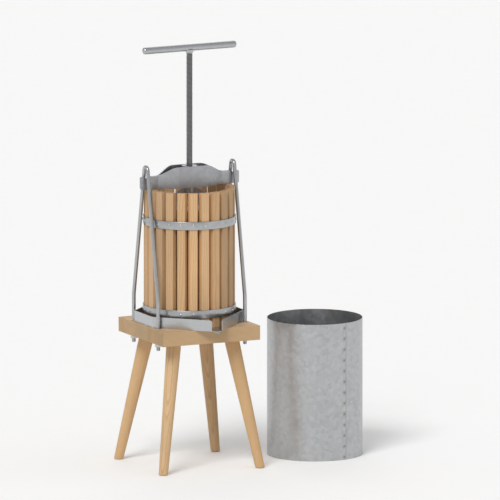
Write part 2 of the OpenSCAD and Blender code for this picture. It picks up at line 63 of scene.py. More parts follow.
# Sizes are in millimetres, as in the CAD, and so are the materials' patterns. They become metres in
# make_piece, dress and add_bevel. Only the camera's, the lamps' and the floor's are in metres from the start
MM = 0.001

# The photo's viewing angle in degrees, the picture's width, the camera's distance, how far the floor reaches
# from the spindle, and how far it is below the feet
VIEW_AZIMUTH = -24.8
VIEW_ELEVATION = 9.8
VIEW_WIDTH = 1.56
CAMERA_DISTANCE = 6.0
FLOOR_REACH = 40.0
FLOOR_DROP = 0.0003

# Sizes of the part that the boxes of its CAD nodes don't give
SPINDLE_R = 10.0
SPINDLE_ROOT_R = 7.75
SPINDLE_PITCH = 4.0
SPINDLE_THREAD = 423.0
HOOP_THICKNESS = 3.0
ROD_R = 6.0
ROD_ROOT_R = 5.05
ROD_PITCH = 1.75
ROD_THREAD = 72.0
ROD_STRAIGHT = 79.0
ROD_GAP = 0.5
APEX_BEND_R = 13.0
KNEE_BEND_R = 60.0
NUT_WIDTH = 19.0
SLAT_COUNT = 23
LEG_INSET = 98.5
BEAM_TIP_HEIGHT = 41.0
SLEEVE_X = 431.0
FOOT_SCREW_HEAD_R = 4.75

# A thread's profile: where its root ends and where its crest starts and ends, in shares of the pitch
ROOT_END = 0.32
CREST_START = 0.47
CREST_END = 0.85

# The ends of spindle and rods: a rod's plain tip and its chamfer, where its thread starts, how the spindle's
# tip narrows into its thread, and the plain shaft in collar and handle
ROD_TIP = 1.2
ROD_TIP_CHAMFER = 0.4
ROD_THREAD_START = 1.0
TIP_TAPER = 1.2
TIP_LAP = 0.4
SHAFT_GAP = 0.2
SHAFT_LAP = 1.0

# A bevel is made where faces meet at more than EDGE_ANGLE, and faces within FLAT_ANGLE of each other count
# as one. Vertices closer than NEW_MERGE become one in a new piece, and those closer than CAD_MERGE in a node
EDGE_ANGLE = 35
FLAT_ANGLE = 0.5
NEW_MERGE = 0.002
CAD_MERGE = 0.004

# Wood screws: the length of the point, the length and share of the radius of its blunt tip, and how much of
# the head's height its upright side has
SCREW_POINT = 4.0
SCREW_TIP = 1.5
SCREW_TIP_SHARE = 0.3
HEAD_SIDE = 0.35

# How finely the round forms are cut
FOOT_SEGMENTS = 4
ROD_SIDES = 32
APEX_STEPS = 12
KNEE_STEPS = 8

# Weld beads: the length and steps of a ripple, the radii, and how far from the part's middle the seams lie
RIPPLE = 2.4
RIPPLE_STEPS = 5
BEAD_SIDES = 12
NUT_BEAD_R = 2.6
TIP_BEAD_R = 1.8
SOCKET_BEAD_R = 2.6
GUSSET_BEAD_R = 2.2
UPRIGHT_BEAD_R = 2.0
NUT_SEAM_X = 12.5
NUT_SEAM_Y = 23.4
GUSSET_SEAM_Y = 2.9

# Patterns and colours of the materials. The edge of the sleeve's lap is at SEAM_ANGLE, seen from above, and
# its spot welds are WELD_PITCH apart and WELD_INSET beside that edge
SEAT_BOARDS = 4
DISC_BOARD = 60.0
CRYSTAL_SIZE = 11.0
CRYSTAL_RAGGEDNESS = 6.0
WAVE_LENGTH = 80.0
SEAM_ANGLE = -74.0
WELD_PITCH = 34.0
WELD_INSET = 7.0
STAIN = (0.30, 0.25, 0.20)
# The spot welds' heat tint, which the painted shade along the sleeve's lap uses too
HEAT_TINT_AND_SEAM_SHADE = (0.20, 0.16, 0.135)
OIL = (0.05, 0.04, 0.035)


def mm_box(name):
    """The lowest and highest corner of a CAD node in millimetres."""
    low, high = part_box(name)
    return low / MM, high / MM


class Graph:
    """A node tree, with short ways to add nodes and links."""

    def __init__(self, node_tree):
        self.nodes = node_tree.nodes
        self.links = node_tree.links

    def feed(self, socket, value):
        """Links the socket to another one, or sets its value."""
        if isinstance(value, bpy.types.NodeSocket):
            self.links.new(value, socket)
        else:
            socket.default_value = value

    def node(self, kind, inputs, **settings):
        """Adds a node. settings are its own properties."""
        made = self.nodes.new(kind)
        for key, value in settings.items():
            setattr(made, key, value)
        for key, value in inputs.items():
            self.feed(made.inputs[key], value)
        return made

    def add(self, kind, inputs, output=0, **settings):
        """Adds a node and gives one of its outputs."""
        return self.node(kind, inputs, **settings).outputs[output]

    def math(self, operation, *values):
        return self.add("ShaderNodeMath", dict(enumerate(values)), operation=operation)

    def mix(self, share, a, b, blend="MIX"):
        """Mixes two colours, whose sockets are 6 and 7, with the result on output 2."""
        inputs = {0: share, 6: a, 7: b}
        return self.add("ShaderNodeMix", inputs, 2, data_type="RGBA", blend_type=blend)

    def split(self, vector):
        return self.node("ShaderNodeSeparateXYZ", {0: vector}).outputs

    def stretch(self, vector, by):
        return self.add("ShaderNodeVectorMath", {0: vector, 1: by}, operation="MULTIPLY")

    def scale(self, vector, by):
        return self.add("ShaderNodeVectorMath", {0: vector, "Scale": by}, operation="SCALE")

    def length(self, x, y):
        """How long a vector of two numbers is."""
        squares = self.math("ADD", self.math("MULTIPLY", x, x), self.math("MULTIPLY", y, y))
        return self.math("SQRT", squares)

    def spread(self, share, low, high):
        """A number from low to high as share goes from 0 to 1."""
        return self.math("MULTIPLY_ADD", share, high - low, low)

    def within(self, distance, nought, full):
        """Goes from 0 at the distance nought to 1 at the distance full."""
        limits = {"Value": distance, "From Min": nought, "From Max": full}
        return self.add("ShaderNodeMapRange", limits)

    def noise(self, vector, scale, detail=3.0, roughness=0.5):
        inputs = {"Vector": vector, "Scale": scale, "Detail": detail, "Roughness": roughness}
        return self.add("ShaderNodeTexNoise", inputs)

    def ramp(self, share, stops, interpolation="LINEAR"):
        """A ramp of greys. Each stop is a place and a grey level."""
        made = self.node("ShaderNodeValToRGB", {0: share})
        made.color_ramp.interpolation = interpolation
        elements = made.color_ramp.elements
        while len(elements) < len(stops):
            elements.new(0.5)
        for element, (at, grey) in zip(elements, stops):
            element.position = at
            element.color = (grey, grey, grey, 1)
        return made.outputs["Color"]


class Surface(Graph):
    """The node tree of a new material."""

    def __init__(self, name):
        self.material = bpy.data.materials.new(name)
        self.material.use_nodes = True
        super().__init__(self.material.node_tree)
        self.shader = self.nodes["Principled BSDF"]

    def place(self, turn=(0, 0, 0)):
        """The object's own coordinates in millimetres, turned."""
        here = self.add("ShaderNodeTexCoord", {}, "Object")
        return self.add("ShaderNodeMapping", {"Vector": here, "Rotation": turn, "Scale": (1 / MM,) * 3})

    def finish(self, colour, roughness, height, depth):
        """Links what is given to the shader. height is a relief, which is depth metres deep."""
        self.feed(self.shader.inputs["Base Color"], colour)
        self.feed(self.shader.inputs["Roughness"], roughness)
        relief = {"Height": height, "Distance": depth, "Strength": 1.0}
        self.feed(self.shader.inputs["Normal"], self.add("ShaderNodeBump", relief, "Normal"))
        return self.material


def wood(name, early, late, grain, ring, board=0.0, contrast=1.0):
    """Planed and oiled wood: growth rings round a pith beside each board, fibres along the grain, fine pores
    and a darker, rougher end grain. early and late are the colours in a ring, grain is the direction of the
    fibres, ring a ring's width and board, for a piece that is glued up, the width of its boards."""
    tree = Surface(name)
    turn = Vector(grain).rotation_difference(Vector((0, 0, 1))).to_euler()
    place = tree.place(turn)
    x, y, z = tree.split(place)

    # Two random numbers for each board
    chance = tree.add("ShaderNodeObjectInfo", {}, "Random")
    if board:
        row = tree.math("FLOOR", tree.math("MULTIPLY_ADD", y, 1 / board, 0.5))
        y = tree.math("MULTIPLY_ADD", row, -board, y)
        seed = tree.math("ADD", row, chance)
        chance = tree.add("ShaderNodeTexWhiteNoise", {"W": seed}, "Value", noise_dimensions="1D")
    other = tree.add("ShaderNodeTexWhiteNoise", {"W": chance}, "Value", noise_dimensions="1D")

    # u and w are the distances from the pith, which differs from board to board and leans a little
    sway = tree.noise(tree.stretch(place, (0.006, 0.006, 0.0035)), 1.0, 2.0)
    drift = tree.math("MULTIPLY", z, tree.spread(other, -0.03, 0.03))
    u = tree.math("ADD", tree.math("ADD", x, tree.spread(chance, -70, 70)), drift)
    w = tree.math("ADD", y, tree.spread(other, 25, 80))
    radius = tree.length(u, w)
    rings = tree.math("ADD", tree.math("DIVIDE", radius, ring), tree.math("MULTIPLY", sway, 5.0))
    band = tree.ramp(tree.math("FRACT", rings), [(0.0, 0.15), (0.5, 0.3), (0.88, 1.0), (1.0, 0.15)])

    # Fibres and pores are stretched along the grain, and broad patches differ a little in tone
    fibre = tree.noise(tree.stretch(place, (1.3, 1.3, 0.025)), 1.0, 4.0, 0.65)
    patch = tree.noise(tree.stretch(place, (0.02, 0.02, 0.006)), 1.0, 2.0)
    pores = tree.noise(tree.stretch(place, (1.1, 1.1, 0.09)), 1.6, 1.0)
    pores = tree.ramp(pores, [(0.68, 0.0), (0.76, 1.0)])

    # End grain is where a face points along the grain
    facing = tree.add("ShaderNodeTexCoord", {}, "Normal")
    facing = tree.add("ShaderNodeMapping", {"Vector": facing, "Rotation": turn}, vector_type="VECTOR")
    sawn = tree.within(tree.math("ABSOLUTE", tree.split(facing)[2]), 0.55, 0.9)

    # The colour goes from early to late in each ring, and each board has a tone and a warmth of its own
    strength = tree.math("MULTIPLY", band, 0.62 * contrast)
    strength = tree.math("ADD", strength, tree.math("MULTIPLY_ADD", fibre, 0.5, -0.2))
    colour = tree.mix(strength, (*early, 1), (*late, 1))
    warmth = tree.mix(other, (1.04, 1.0, 0.92, 1), (0.97, 1.0, 1.05, 1))
    colour = tree.mix(1.0, colour, warmth, "MULTIPLY")
    tone = tree.spread(chance, 0.84, 1.10)
    tone = tree.math("ADD", tone, tree.math("MULTIPLY_ADD", patch, 0.3, -0.15))
    tone = tree.math("MULTIPLY_ADD", sawn, -0.2, tone)
    dark = tuple(0.45 * c for c in late)
    colour = tree.mix(tree.math("MULTIPLY", pores, 0.55), tree.scale(colour, tone), (*dark, 1))
    roughness = tree.math("MULTIPLY_ADD", fibre, 0.25, 0.42)
    roughness = tree.math("MULTIPLY_ADD", sawn, 0.15, roughness)
    relief = tree.math("MULTIPLY_ADD", band, 0.25, fibre)
    height = tree.math("SUBTRACT", relief, tree.math("MULTIPLY", pores, 0.5))
    tree.shader.inputs["Specular IOR Level"].default_value = 0.35
    return tree.finish(colour, roughness, height, 0.12 * MM)


def steel(name, colour, rough, brush, spangle=0.0, stain=0.2, wave=0.0, mark=None):
    """Bare or plated steel: drawing marks and faint stains. brush is how fine the marks are along each axis.
    spangle adds zinc crystals, wave an uneven sheet and mark a pattern of its own, such as heat-tinted welds
    and painted seam shade."""
    tree = Surface(name)
    place = tree.place()
    marks = tree.noise(tree.stretch(place, brush), 1.0, 4.0, 0.7)
    cloud = tree.math("MULTIPLY_ADD", tree.noise(place, 0.03, 4.0, 0.6), 0.2, -0.1)
    spots = tree.ramp(tree.noise(place, 0.35, 3.0, 0.6), [(0.58, 0.0), (0.72, 1.0)])
    tone = tree.math("ADD", tree.spread(marks, 0.90, 1.06), cloud)
    roughness = tree.math("ADD", tree.spread(marks, rough - 0.07, rough + 0.07), cloud)
    height = marks
    if spangle:
        # Crystals of different tones, with ragged and feathered edges
        ragged = tree.add("ShaderNodeTexNoise", {"Vector": place, "Scale": 0.35, "Detail": 2.0}, "Color")
        moved = {0: ragged, 1: (CRYSTAL_RAGGEDNESS,) * 3, 2: place}
        ragged = tree.add("ShaderNodeVectorMath", moved, operation="MULTIPLY_ADD")
        cells = {"Vector": ragged, "Scale": 1 / CRYSTAL_SIZE, "Randomness": 1.0}
        crystals = tree.split(tree.add("ShaderNodeTexVoronoi", cells, "Color"))[0]
        feather = tree.noise(tree.scale(ragged, crystals), 0.9, 2.0)
        crystals = tree.math("MULTIPLY_ADD", feather, 0.5, crystals)
        change = tree.math("MULTIPLY_ADD", crystals, spangle, -0.75 * spangle)
        tone = tree.math("ADD", tone, change)
        roughness = tree.math("MULTIPLY_ADD", change, 0.3, roughness)
    if wave:
        height = tree.math("MULTIPLY_ADD", tree.noise(place, 1 / WAVE_LENGTH, 1.0), wave, height)
    share = tree.math("MULTIPLY", spots, stain)
    final = tree.mix(share, tree.scale(colour, tone), (*STAIN, 1))
    roughness = tree.math("ADD", roughness, tree.math("MULTIPLY", share, 0.3))
    if mark:
        share, dent = mark(tree, place)
        # The mark's colour is heat tint on welds and painted shade along a seam
        final = tree.mix(share, final, (*HEAT_TINT_AND_SEAM_SHADE, 1))
        height = tree.math("SUBTRACT", height, dent)
    tree.shader.inputs["Metallic"].default_value = 1.0
    return tree.finish(final, roughness, height, 0.03 * MM)


def sleeve_welds_and_seam_shade(tree, place):
    """Painted shade in a dark line along the lap's free edge, where the step's shadow falls, and a row of
    heat-tinted spot welds beside it: how tinted and how deep.
    """
    x, y, z = tree.split(place)
    low, high = mm_box("splash_sleeve")
    turn = tree.math("ARCTAN2", y, tree.math("SUBTRACT", x, SLEEVE_X))
    beyond = tree.math("SUBTRACT", turn, math.radians(SEAM_ANGLE))
    along = tree.math("MULTIPLY", beyond, (high.y - low.y) / 2)
    # Painted shade: a thin dark line on both sides of the lap's edge
    painted_seam_shade = tree.within(tree.math("ABSOLUTE", along), nought=1.6, full=0.5)
    across = tree.math("ADD", along, WELD_INSET)
    up = tree.math("PINGPONG", tree.math("SUBTRACT", z, WELD_PITCH / 4), WELD_PITCH / 2)
    reach = tree.length(across, up)
    weld = tree.within(reach, nought=4.4, full=2.8)
    halo = tree.within(reach, nought=10.0, full=2.0)
    tinted = tree.math("ADD", tree.math("MULTIPLY", weld, 0.35), tree.math("MULTIPLY", halo, 0.3))
    # The welds' heat tint and the painted seam shade are mixed into one share
    share = tree.math("MAXIMUM", tinted, tree.math("MULTIPLY", painted_seam_shade, 0.8))
    return share, tree.math("MULTIPLY", weld, 6.0)


def thread_steel(name, colour, crest_r, root_r):
    """Oiled screw steel: dark in the thread's root, rubbed bright on its crests."""
    tree = Surface(name)
    place = tree.place()
    flat = tree.stretch(place, (1, 1, 0))
    reach = tree.add("ShaderNodeVectorMath", {0: flat}, "Value", operation="LENGTH")
    rubbed = tree.within(reach, root_r + 0.6 * (crest_r - root_r), crest_r)
    marks = tree.noise(tree.stretch(place, (0.4, 0.4, 2.0)), 1.0, 4.0, 0.7)
    worn = tree.math("MULTIPLY", rubbed, tree.spread(tree.noise(place, 0.06, 3.0, 0.6), 0.3, 1.0))
    bright = tuple(2.6 * c for c in colour)
    final = tree.mix(worn, (*colour, 1), (*bright, 1))
    final = tree.mix(tree.math("MULTIPLY", marks, 0.25), final, (*OIL, 1))
    tree.shader.inputs["Metallic"].default_value = 1.0
    return tree.finish(final, tree.math("MULTIPLY_ADD", marks, 0.25, 0.22), marks, 0.03 * MM)


def leg_name(x, y):
    """The node of the leg on a side. x and y are -1 or 1."""
    return "leg_" + ("front" if y < 0 else "back") + ("_left" if x < 0 else "_right")


def leg_wood(x, y):
    """The wood of one leg, whose grain runs along the leg's own slanted axis."""
    low, high = mm_box("seat_plank")
    foot = Vector((x * high.x, y * high.y, 0))
    seat = Vector((x * LEG_INSET, y * LEG_INSET, low.z))
    return wood(leg_name(x, y) + "_wood", (0.64, 0.44, 0.25), (0.40, 0.225, 0.10),
                grain=seat - foot, ring=3.0, contrast=0.9)


seat_board = 2 * mm_box("seat_plank")[1].y / SEAT_BOARDS
stool_wood = wood("stool_wood", (0.66, 0.46, 0.265), (0.40, 0.225, 0.10),
                  grain=(1, 0, 0), ring=3.6, board=seat_board)
slat_wood = wood("slat_wood", (0.66, 0.445, 0.255), (0.42, 0.235, 0.11),
                 grain=(0, 0, 1), ring=2.6, contrast=0.85)
disc_wood = wood("disc_wood", (0.64, 0.43, 0.245), (0.41, 0.235, 0.11),
                 grain=(0, 1, 0), ring=2.8, board=DISC_BOARD, contrast=0.8)
bar_wood = wood("bar_wood", (0.56, 0.37, 0.21), (0.36, 0.20, 0.10),
                grain=(0, 1, 0), ring=2.6, contrast=0.8)
sleeve_steel = steel("sleeve_steel", (0.50, 0.51, 0.52), rough=0.42, brush=(0.3, 0.3, 0.3),
                     spangle=0.15, stain=0.04, wave=3.0, mark=sleeve_welds_and_seam_shade)
tray_steel = steel("tray_steel", (0.53, 0.54, 0.55), rough=0.30, brush=(0.012, 1.6, 0.6),
                   stain=0.08, wave=2.0)
hoop_steel = steel("hoop_steel", (0.45, 0.46, 0.47), rough=0.33, brush=(0.08, 0.08, 1.5),
                   spangle=0.12)
rod_steel = steel("rod_steel", (0.46, 0.47, 0.48), rough=0.31, brush=(1.8, 1.8, 0.05),
                  stain=0.12)
beam_steel = steel("beam_steel", (0.43, 0.44, 0.46), rough=0.40, brush=(0.5, 0.5, 0.5),
                   spangle=0.14, stain=0.08)
zinc_steel = steel("zinc_steel", (0.58, 0.58, 0.55), rough=0.28, brush=(0.9, 0.9, 0.9),
                   stain=0.12)
handle_steel = steel("handle_steel", (0.47, 0.48, 0.49), rough=0.28, brush=(0.05, 1.4, 1.4),
                     stain=0.12)
bead_steel = steel("bead_steel", (0.42, 0.42, 0.43), rough=0.45, brush=(0.8, 0.8, 0.8),
                   stain=0.3)
spindle_steel = thread_steel("spindle_steel", (0.16, 0.16, 0.165), SPINDLE_R, SPINDLE_ROOT_R)


def link_mesh(name, bm):
    """Makes an object of a bmesh as it is."""
    mesh = bpy.data.meshes.new(name)
    bm.to_mesh(mesh)
    bm.free()
    made = bpy.data.objects.new(name, mesh)
    bpy.context.scene.collection.objects.link(made)
    return made


def make_piece(name, bm, material, body, replaced=(), sharp=40):
    """Turns a bmesh in millimetres into a piece of the scene that rides on a body. Faces that meet at more
    than the angle sharp keep a sharp edge."""
    bmesh.ops.remove_doubles(bm, verts=bm.verts, dist=NEW_MERGE)
    bmesh.ops.dissolve_degenerate(bm, edges=bm.edges, dist=NEW_MERGE)
    bmesh.ops.recalc_face_normals(bm, faces=bm.faces)
    bmesh.ops.scale(bm, vec=(MM, MM, MM), verts=bm.verts)
    piece = link_mesh(name, bm)
    piece.data.shade_smooth()
    piece.data.set_sharp_from_angle(angle=math.radians(sharp))
    piece.data.materials.append(material)
    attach(piece, body)
    if replaced:
        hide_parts(*replaced)


def loft(bm, rings, closed=False):
    """Joins rings of vertices, one after the other. A ring of one vertex is a point."""
    pairs = list(zip(rings, rings[1:]))
    if closed:
        pairs.append((rings[-1], rings[0]))
    for a, b in pairs:
        count = max(len(a), len(b))
        for i in range(count):
            j = (i + 1) % count
            corners = [a[i % len(a)], a[j % len(a)], b[j % len(b)], b[i % len(b)]]
            corners = list(dict.fromkeys(corners))
            if len(corners) > 2:
                bm.faces.new(corners)


def lathe(bm, outline, segments=48, place=Matrix.Identity(4), closed=False):
    """Turns (radius, height) points about the local Z axis."""
    rings = []
    for r, z in outline:
        count = 1 if r == 0 else segments
        turns = [2 * math.pi * i / segments for i in range(count)]
        points = [Vector((r * math.cos(a), r * math.sin(a), z)) for a in turns]
        rings.append([bm.verts.new(place @ point) for point in points])
    loft(bm, rings, closed)


def thread(bm, crest, root, pitch, low, high, segments, place=Matrix.Identity(4)):
    """A right-hand helical thread that runs out into its root at both ends, with closed ends."""
    profile = [(0.0, root), (ROOT_END, root), (CREST_START, crest), (CREST_END, crest)]
    turns = math.ceil((high - low) / pitch) + 1
    columns = []
    for i in range(segments):
        angle = 2 * math.pi * i / segments
        column = []
        for k in range(-1, turns):
            for share, r in profile:
                z = low + (k + share + i / segments) * pitch
                if z <= low or z >= high:
                    z = min(max(z, low), high)
                    r = root
                point = Vector((r * math.cos(angle), r * math.sin(angle), z))
                column.append(bm.verts.new(place @ point))
        columns.append(column)

    # The last column meets the first one a turn further up
    for i, column in enumerate(columns):
        shift = 0 if i < segments - 1 else len(profile)
        beside = columns[(i + 1) % segments]
        for k in range(len(column) - 1 - shift):
            bm.faces.new([column[k], beside[k + shift], beside[k + 1 + shift], column[k + 1]])
    lathe(bm, [(0, low), (root, low)], segments, place)
    lathe(bm, [(0, high), (root, high)], segments, place)


def sweep(bm, path, radii, segments):
    """A round bar with flat ends along points of a plane curve, with a radius for each point."""
    rings = []
    side = None
    for i, point in enumerate(path):
        ahead = path[min(i + 1, len(path) - 1)] - path[max(i - 1, 0)]
        ahead.normalize()
        if side is None:
            side = ahead.orthogonal().normalized()
        side = (side - side.dot(ahead) * ahead).normalized()
        other = ahead.cross(side)
        ring = []
        for k in range(segments):
            a = 2 * math.pi * k / segments
            ring.append(bm.verts.new(point + radii[i] * (math.cos(a) * side + math.sin(a) * other)))
        rings.append(ring)
    rings = [[bm.verts.new(path[0])]] + rings + [[bm.verts.new(path[-1])]]
    loft(bm, rings)


def rippled(step):
    """The share of a bead's radius at a step: largest at a ripple's crest, and each a little different."""
    depth = abs(math.sin(math.pi * (step + 0.5) / RIPPLE_STEPS))
    return (0.82 + 0.18 * depth) * random.uniform(0.97, 1.03)


def bead(bm, start, end, radius):
    """A weld bead with the ripples that the welder's movement leaves, thinner at both ends."""
    length = (end - start).length
    steps = round(length / RIPPLE) * RIPPLE_STEPS
    path = []
    radii = []
    for i in range(steps + 1):
        share = i / steps
        taper = min(1.0, 0.25 + 1.1 * min(share, 1 - share) * length / radius)
        path.append(start.lerp(end, share))
        radii.append(radius * rippled(i) * taper)
    sweep(bm, path, radii, BEAD_SIDES)


def ring_bead(bm, centre, ring_r, radius):
    """A weld bead round a tube."""
    steps = round(2 * math.pi * ring_r / RIPPLE) * RIPPLE_STEPS
    rings = []
    for i in range(steps):
        a = 2 * math.pi * i / steps
        size = radius * rippled(i)
        out = Vector((math.cos(a), math.sin(a), 0))
        middle = centre + ring_r * out
        ring = []
        for k in range(BEAD_SIDES):
            b = 2 * math.pi * k / BEAD_SIDES
            ring.append(bm.verts.new(middle + size * (math.cos(b) * out + Vector((0, 0, math.sin(b))))))
        rings.append(ring)
    loft(bm, rings, closed=True)


def add_bevel(node, name, width, segments, limit):
    """Bevels edges by their angle or, if limit is WEIGHT, by their weight."""
    bevel = node.modifiers.new(name, "BEVEL")
    bevel.width = width * MM
    bevel.segments = segments
    bevel.limit_method = limit
    bevel.angle_limit = math.radians(EDGE_ANGLE)


def mark_foot(mesh):
    """Marks the rim of a leg's level foot for a bevel of its own. The CAD node's mesh has it as open edges.
    """
    uses = Counter(key for polygon in mesh.polygons for key in polygon.edge_keys)
    weights = mesh.attributes.new("bevel_weight_edge", "FLOAT", "EDGE")
    for edge in mesh.edges:
        top = max(mesh.vertices[i].co.z for i in edge.vertices)
        if top < 0.1 * MM and uses[edge.key] == 1:
            weights.data[edge.index].value = 1.0


def dress(name, material, edge=0.0, segments=2, foot=0.0):
    """Gives a CAD node its material and softens its edges with modifiers. foot rounds a leg's lower rim."""
    node = nodes[name]
    mesh = node.data
    for attribute in ("custom_normal", "sharp_edge", "sharp_face"):
        if attribute in mesh.attributes:
            mesh.attributes.remove(mesh.attributes[attribute])
    mesh.polygons.foreach_set("use_smooth", [True] * len(mesh.polygons))
    mesh.materials.clear()
    mesh.materials.append(material)
    weld = node.modifiers.new("weld", "WELD")
    weld.merge_threshold = CAD_MERGE * MM
    flat = node.modifiers.new("flat", "DECIMATE")
    flat.decimate_type = "DISSOLVE"
    flat.angle_limit = math.radians(FLAT_ANGLE)
    if foot:
        mark_foot(mesh)
        add_bevel(node, "foot", foot, FOOT_SEGMENTS, "WEIGHT")
    if edge:
        add_bevel(node, "edges", edge, segments, "ANGLE")
    normals = node.modifiers.new("normals", "WEIGHTED_NORMAL")
    normals.weight = 80
    normals.keep_sharp = False


# The CAD nodes that stay get better materials and softened edges
dress("seat_plank", stool_wood, edge=2.0, segments=3)
for x in (-1, 1):
    for y in (-1, 1):
        dress(leg_name(x, y), leg_wood(x, y), edge=1.0, foot=4.0)
dress("juice_tray", tray_steel, edge=0.35)
for name in nodes:
    if name.startswith("drain_bar_"):
        dress(name, bar_wood, edge=1.5)
    if name.startswith("slat_"):
        dress(name, slat_wood, edge=1.4, segments=3)
dress("front_cheek", beam_steel, edge=0.8)
dress("back_cheek", beam_steel, edge=0.8)
dress("spindle_nut", beam_steel, edge=1.2)
dress("handle_bar", handle_steel)
dress("handle_collar", handle_steel, edge=0.6)
dress("foot_plate", beam_steel, edge=1.2)
dress("foot_socket", beam_steel, edge=1.2)
dress("foot_gussets", beam_steel, edge=0.7)
dress("foot_ribs", beam_steel, edge=0.7)
dress("press_disc", disc_wood, edge=2.5, segments=3)
dress("splash_sleeve", sleeve_steel, edge=0.15, segments=1)


def ring_outline(inner, outer, low, high, edge):
    """The section of a flat ring with rounded edges, as (radius, height) points."""
    points = []
    for r, z, start in ((outer - edge, low + edge, -90), (outer - edge, high - edge, 0),
                        (inner + edge, high - edge, 90), (inner + edge, low + edge, 180)):
        for turn in (0, 30, 60, 90):
            a = math.radians(start + turn)
            points.append((r + edge * math.cos(a), z + edge * math.sin(a)))
    return points


def build_hoop(name):
    """A hoop without its holes, which the screws fill."""
    low, high = mm_box(name)
    outline = ring_outline(high.x - HOOP_THICKNESS, high.x, low.z, high.z, edge=0.8)
    bm = bmesh.new()
    lathe(bm, outline, 144, closed=True)
    make_piece(name + "_band", bm, hoop_steel, "stand", replaced=[name], sharp=30)


build_hoop("lower_hoop")
build_hoop("upper_hoop")


def build_spindle():
    """The spindle with a real helix, its round tip and, inside collar and handle, a plain shaft."""
    low, high = mm_box("spindle")
    top = mm_box("handle_collar")[0].z
    bottom = top - SPINDLE_THREAD
    bm = bmesh.new()
    thread(bm, SPINDLE_R, SPINDLE_ROOT_R, SPINDLE_PITCH, bottom, top, 48)
    tip = []
    for i in range(11):
        a = math.radians(9 * i)
        tip.append((SPINDLE_R * math.sin(a), low.z + SPINDLE_R * (1 - math.cos(a))))
    tip.append((SPINDLE_R, bottom - TIP_TAPER))
    tip.append((SPINDLE_ROOT_R, bottom + TIP_LAP))
    tip.append((0, bottom + TIP_LAP))
    lathe(bm, tip)
    shaft_r = SPINDLE_ROOT_R - SHAFT_GAP
    start = top - SHAFT_LAP
    end = high.z - SHAFT_LAP
    lathe(bm, [(0, start), (shaft_r, start), (shaft_r, end), (0, end)])
    make_piece("spindle_screw", bm, spindle_steel, "spindle", replaced=["spindle"], sharp=30)


build_spindle()


def rod_path(x, low, high):
    """The centre line of a bent rod, from one thread's top to the other's, as the CAD has it, and how far the
    threads are from the middle."""
    rod_y = high.y - ROD_R
    apex_z = high.z - ROD_R - APEX_BEND_R
    knee_z = low.z + ROD_THREAD + ROD_STRAIGHT
    rise = apex_z - knee_z

    # The straight parts lean so that they run into both bends without a kink
    lean = math.atan2(rod_y, rise) - math.asin(APEX_BEND_R / math.hypot(rod_y, rise))
    knee_start = knee_z - KNEE_BEND_R * math.tan(lean / 2)
    half = []
    for i in range(APEX_STEPS + 1):
        a = lean + (math.pi / 2 - lean) * (1 - i / APEX_STEPS)
        half.append(Vector((x, APEX_BEND_R * math.cos(a), apex_z + APEX_BEND_R * math.sin(a))))
    for i in range(KNEE_STEPS + 1):
        a = lean * (1 - i / KNEE_STEPS)
        y = rod_y - KNEE_BEND_R * (1 - math.cos(a))
        half.append(Vector((x, y, knee_start + KNEE_BEND_R * math.sin(a))))
    half.append(Vector((x, rod_y, low.z + ROD_THREAD)))
    mirrored = [Vector((p.x, -p.y, p.z)) for p in half]
    return mirrored[::-1] + half[1:], rod_y


def build_rod(side, name):
    """A bent rod with an M12 thread at each end. Gives how far its ends are from the middle along X and Y."""
    low, high = mm_box(name)
    x = (low.x + high.x) / 2
    path, rod_y = rod_path(x, low, high)
    start = low.z + ROD_THREAD_START
    end = low.z + ROD_THREAD
    tip_r = ROD_ROOT_R - ROD_TIP_CHAMFER
    tip_top = low.z + ROD_TIP
    bm = bmesh.new()
    sweep(bm, path, [ROD_R] * len(path), ROD_SIDES)
    for y in (-rod_y, rod_y):
        place = Matrix.Translation((x, y, 0))
        thread(bm, ROD_R, ROD_ROOT_R, ROD_PITCH, start, end, ROD_SIDES, place)
        lathe(bm, [(0, low.z), (tip_r, low.z), (ROD_ROOT_R, tip_top), (0, tip_top)], ROD_SIDES, place)
    make_piece(side + "_rod", bm, rod_steel, "stand", replaced=[name], sharp=30)
    return x, rod_y


rod_x, rod_y = build_rod("right", "right_hairpin")
build_rod("left", "left_hairpin")
rod_places = [(x * rod_x, y * rod_y) for x in (-1, 1) for y in (-1, 1)]


def build_washers(name):
    """The four washers of one side of the seat."""
    low, high = mm_box(name)
    outline = ring_outline(ROD_R + ROD_GAP, high.x - rod_x, low.z, high.z, edge=0.35)
    bm = bmesh.new()
    for x, y in rod_places:
        lathe(bm, outline, 40, Matrix.Translation((x, y, 0)), closed=True)
    make_piece(name + "_set", bm, zinc_steel, "stand", replaced=[name], sharp=30)


build_washers("upper_washers")
build_washers("lower_washers")


def build_nuts():
    """The four hex nuts, with corners chamfered at 30 degrees and a lead into the bore at both ends."""
    low, high = mm_box("rod_nuts")
    flat = NUT_WIDTH / 2
    shoulder = 0.96 * flat
    bore = ROD_R + 0.05
    lead = 0.8
    segments = 48
    bm = bmesh.new()
    for x, y in rod_places:
        columns = []
        for i in range(segments):
            a = 2 * math.pi * i / segments

            # corner is how far the hexagon reaches in this direction, and drop how much its chamfer takes off
            within = (a + math.pi / 6) % (math.pi / 3) - math.pi / 6
            corner = flat / math.cos(math.pi / 6 - abs(within))
            drop = (corner - shoulder) * math.tan(math.radians(30))
            lower = [(bore, low.z + lead), (bore + lead, low.z), (shoulder, low.z), (corner, low.z + drop)]
            upper = [(r, low.z + high.z - z) for r, z in reversed(lower)]
            points = [(x + r * math.cos(a), y + r * math.sin(a), z) for r, z in lower + upper]
            columns.append([bm.verts.new(point) for point in points])
        loft(bm, list(zip(*columns)), closed=True)
    make_piece("rod_nut_set", bm, zinc_steel, "stand", replaced=["rod_nuts"], sharp=25)


build_nuts()


